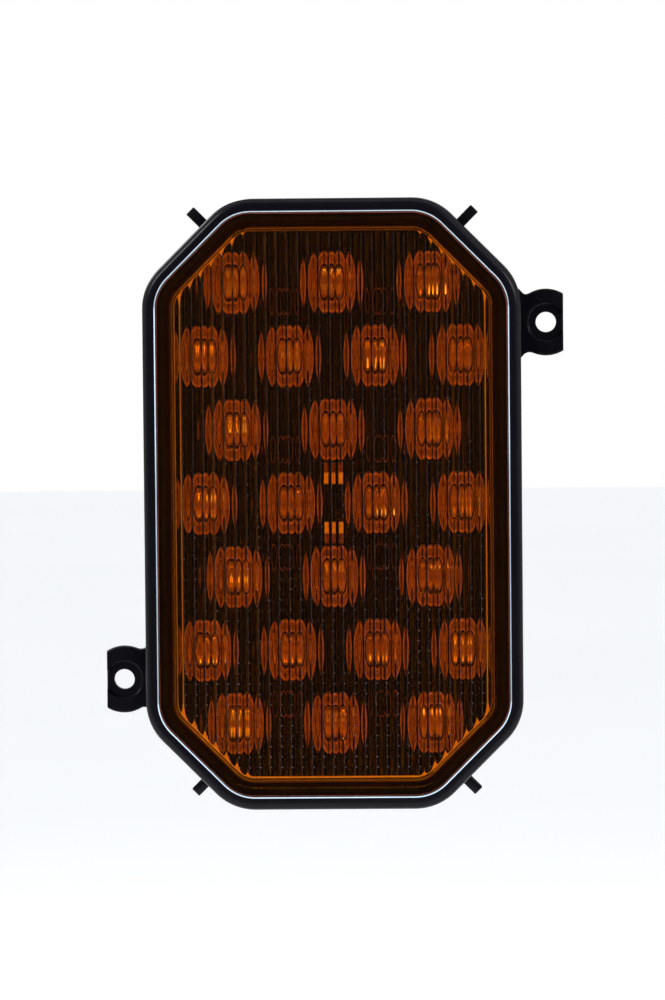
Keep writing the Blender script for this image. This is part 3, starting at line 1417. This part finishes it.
class SIGNALLAMP_OT_rear(bpy.types.Operator):
    """Build the connector and the vent cap on the rear wall"""

    bl_idname = "signal_lamp.rear"
    bl_label = "Rear parts"

    def execute(self, context):
        matt = finish("Connector Plastic", (0.018, 0.018, 0.02), (0.012, 0.012, 0.014), (0.4, 0.55))
        self.header(matt)
        self.vent(matt)
        return {"FINISHED"}

    def header(self, matt):
        """The connector: a flange, a keyed socket, and holes for its pins and screws."""
        r = settings().rear
        low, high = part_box("connector_header")
        seal_low, seal_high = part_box("connector_seal")
        base, floor = seal_high.y, seal_high.y + r.flange
        z = (seal_low.z + seal_high.z) / 2
        half_w, half_h = r.socket_width / 2 + r.socket_wall, r.socket_height / 2 + r.socket_wall
        inner_w, inner_h = half_w - 0.2 * MM, half_h - 0.2 * MM
        key, key_half = half_h + 0.9 * MM, 2.5 * MM
        pin_half_w, pin_half_h, screw_across, screw_hole = 0.8 * MM, 0.45 * MM, 14.5 * MM, 1.3 * MM
        piece = joined_blocks(
            "connector_shell",
            [
                ((seal_low.x, base, seal_low.z), (seal_high.x, floor, seal_high.z)),
                ((-half_w, base, z - half_h), (half_w, high.y, z + half_h)),
                ((-inner_w, low.y, z - inner_h), (inner_w, base + 0.5 * MM, z + inner_h)),
                ((-key_half, base + 4 * MM, z + key - MM), (key_half, base + 8 * MM, z + key + MM)),
            ],
            0.3 * MM,
            matt,
        )
        bm = bmesh.new()
        block(
            bm,
            (-r.socket_width / 2, floor, z - r.socket_height / 2),
            (r.socket_width / 2, high.y + MM, z + r.socket_height / 2),
        )
        combine(piece, mesh_object("socket", bm, [matt]), "DIFFERENCE")
        bm = bmesh.new()
        for i in range(4):
            x = (i - 1.5) * r.pin_pitch
            pin_low = (x - pin_half_w, low.y - MM, z - pin_half_h)
            block(bm, pin_low, (x + pin_half_w, floor + MM, z + pin_half_h))
        for side in (-1, 1):
            hole = [(0, base - MM), (screw_hole, base - MM), (screw_hole, floor + MM), (0, floor + MM)]
            revolve(bm, hole, 24, (side * screw_across, z))
        combine(piece, mesh_object("holes", bm, [matt]), "DIFFERENCE")
        place_piece(piece, "connector_black", "connector_header")

    def vent(self, matt):
        """The round vent cap, hollow below, with six slots round its foot."""
        low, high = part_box("vent_cap")
        place = ((low.x + high.x) / 2, (low.z + high.z) / 2)
        radius = (high.x - low.x) / 2
        hollow, roof, edge_round = radius - 1.5 * MM, low.y + MM, 0.7 * MM
        slot_half, slot_tall = 0.8 * MM, 0.9 * MM
        profile = rounded(
            [(0, high.y, 0), (radius, high.y, edge_round), (radius, low.y, 0)]
            + [(hollow, low.y, 0), (hollow, roof, 0), (0, roof, 0)]
        )
        bm = bmesh.new()
        revolve(bm, [tuple(p) for p in profile], 64, place)
        piece = mesh_object("vent_cover", bm, [matt])
        half = radius + MM
        for turn in range(3):
            bm = bmesh.new()
            where = Matrix.Translation((place[0], 0, place[1])) @ Matrix.Rotation(math.pi / 3 * turn, 4, "Y")
            block(bm, (-half, low.y - MM, -slot_half), (half, low.y + slot_tall, slot_half), where)
            combine(piece, mesh_object("slot", bm, [matt]), "DIFFERENCE")
        place_piece(piece, "connector_black", "vent_cap")


# ---- Stage ----


class SIGNALLAMP_OT_camera(bpy.types.Operator):
    """Stand the camera in front of the lamp, a little above and to the right"""

    bl_idname = "signal_lamp.camera"
    bl_label = "Camera"

    def execute(self, context):
        s = settings().stage
        # The camera looks at a point just beside the lamp's middle, so that both ears stand evenly in view.
        target = Vector((-0.66 * MM, 0, 0.15 * MM))
        az, el = s.camera_azimuth, s.camera_elevation
        out = Vector((math.sin(az) * math.cos(el), -math.cos(az) * math.cos(el), math.sin(el)))
        data = bpy.data.cameras.new("camera")
        data.lens = s.camera_lens
        data.sensor_width = 36
        data.clip_end = 50
        camera = bpy.data.objects.new("camera", data)
        camera.location = target + out * s.camera_distance
        aim = (-out).to_track_quat("-Z", "Y").to_matrix() @ Matrix.Rotation(s.camera_roll, 3, "Z")
        camera.rotation_euler = aim.to_euler()
        context.scene.collection.objects.link(camera)
        context.scene.camera = camera
        return {"FINISHED"}


class SIGNALLAMP_OT_stage(bpy.types.Operator):
    """Lay the pale floor and set the soft studio light"""

    bl_idname = "signal_lamp.stage"
    bl_label = "Stage"

    def execute(self, context):
        self.floor(context)
        self.surroundings(context)
        for name, place, size, power in (
            ("soft_key", (-0.65, -0.85, 0.5), 0.22, 7.0),
            ("soft_fill", (0.7, -0.8, 0.35), 0.22, 5.0),
            ("rear_key", (-0.9, 0.9, 0.7), 0.6, 8.0),
        ):
            light = bpy.data.lights.new(name, "AREA")
            light.energy = power
            light.size = size
            lamp = bpy.data.objects.new(name, light)
            lamp.location = place
            lamp.rotation_euler = (-Vector(place)).to_track_quat("-Z", "Y").to_euler()
            context.scene.collection.objects.link(lamp)
        context.scene.view_settings.view_transform = "Standard"
        context.scene.cycles.use_denoising = True
        return {"FINISHED"}

    def floor(self, context):
        """A wide pale floor below the lamp."""
        half, near = 6.0, -1.0
        drop = -settings().stage.floor_drop
        mesh = bpy.data.meshes.new("floor")
        corners = [(-half, near, drop), (half, near, drop), (half, half, drop), (-half, half, drop)]
        mesh.from_pydata(corners, [], [(0, 1, 2, 3)])
        pale = (0.9, 0.9, 0.9)
        material = finish("Floor White", pale, (0.88, 0.88, 0.88), (0.7, 0.8), scale=3.0, grain=40.0)
        shader = material.node_tree.nodes["Principled BSDF"]
        shader.inputs["Emission Color"].default_value = (1, 1, 1, 1)
        shader.inputs["Emission Strength"].default_value = 0.3
        mesh.materials.append(material)
        piece = bpy.data.objects.new("floor", mesh)
        context.scene.collection.objects.link(piece)

    def surroundings(self, context):
        """A white surround, dark in front of the lamp, dimmer behind it, with a bright band at its sides."""
        world = bpy.data.worlds.new("Light Tent")
        world.use_nodes = True
        nodes, links = world.node_tree.nodes, world.node_tree.links
        tent = nodes["Background"]
        where = nodes.new("ShaderNodeTexCoord")
        split = nodes.new("ShaderNodeSeparateXYZ")
        # Y runs from -1 straight in front of the lamp to 1 straight behind it.
        spread = remap(nodes, -0.85, -0.4, 0.025, 0.85)
        spread.interpolation_type = "SMOOTHSTEP"
        behind = remap(nodes, 0.15, 0.4, 1.0, 0.3)
        band = remap(nodes, 0.15, 0.12, 0.0, 1.3)
        white = nodes.new("ShaderNodeBackground")
        path = nodes.new("ShaderNodeLightPath")
        mix = nodes.new("ShaderNodeMixShader")
        links.new(where.outputs["Generated"], split.inputs["Vector"])
        links.new(split.outputs["Y"], spread.inputs["Value"])
        links.new(split.outputs["Y"], behind.inputs["Value"])
        links.new(maths(world.node_tree, "ABSOLUTE", split.outputs["Y"]), band.inputs["Value"])
        level = maths(world.node_tree, "MULTIPLY", spread.outputs["Result"], behind.outputs["Result"])
        links.new(maths(world.node_tree, "ADD", level, band.outputs["Result"]), tent.inputs["Strength"])
        tent.inputs["Color"].default_value = (0.93, 0.96, 1.0, 1)
        white.inputs["Color"].default_value = (1, 1, 1, 1)
        links.new(path.outputs["Is Camera Ray"], mix.inputs["Fac"])
        links.new(tent.outputs["Background"], mix.inputs[1])
        links.new(white.outputs["Background"], mix.inputs[2])
        links.new(mix.outputs["Shader"], nodes["World Output"].inputs["Surface"])
        context.scene.world = world


# ---- Panel and registration ----


STEPS = ("camera", "stage", "housing", "lens", "optics", "baffle", "clips", "inside", "screws", "rear")


class LampSettings(bpy.types.PropertyGroup):
    housing: PointerProperty(type=LampHousing)
    lens: PointerProperty(type=LampLens)
    optics: PointerProperty(type=LampOptics)
    rear: PointerProperty(type=LampRear)
    stage: PointerProperty(type=LampStage)


class SIGNALLAMP_PT_panel(bpy.types.Panel):
    """Sizes, colours and build steps of the signal lamp"""

    bl_idname = "SIGNALLAMP_PT_panel"
    bl_label = "Signal Lamp"
    bl_space_type = "VIEW_3D"
    bl_region_type = "UI"
    bl_category = "Signal Lamp"

    def draw(self, context):
        lamp = context.scene.signal_lamp
        for group in (lamp.housing, lamp.lens, lamp.optics, lamp.rear, lamp.stage):
            box = self.layout.box()
            for name in group.__annotations__:
                box.prop(group, name)
        for step in STEPS:
            self.layout.operator(f"signal_lamp.{step}")


CLASSES = (
    LampHousing,
    LampLens,
    LampOptics,
    LampRear,
    LampStage,
    LampSettings,
    SIGNALLAMP_OT_camera,
    SIGNALLAMP_OT_stage,
    SIGNALLAMP_OT_housing,
    SIGNALLAMP_OT_lens,
    SIGNALLAMP_OT_optics,
    SIGNALLAMP_OT_baffle,
    SIGNALLAMP_OT_clips,
    SIGNALLAMP_OT_inside,
    SIGNALLAMP_OT_screws,
    SIGNALLAMP_OT_rear,
    SIGNALLAMP_PT_panel,
)


def register():
    for cls in CLASSES:
        bpy.utils.register_class(cls)
    bpy.types.Scene.signal_lamp = PointerProperty(type=LampSettings)


def unregister():
    del bpy.types.Scene.signal_lamp
    for cls in reversed(CLASSES):
        bpy.utils.unregister_class(cls)


def main():
    register()
    for step in STEPS:
        getattr(bpy.ops.signal_lamp, step)()


if __name__ == "__main__":
    main()
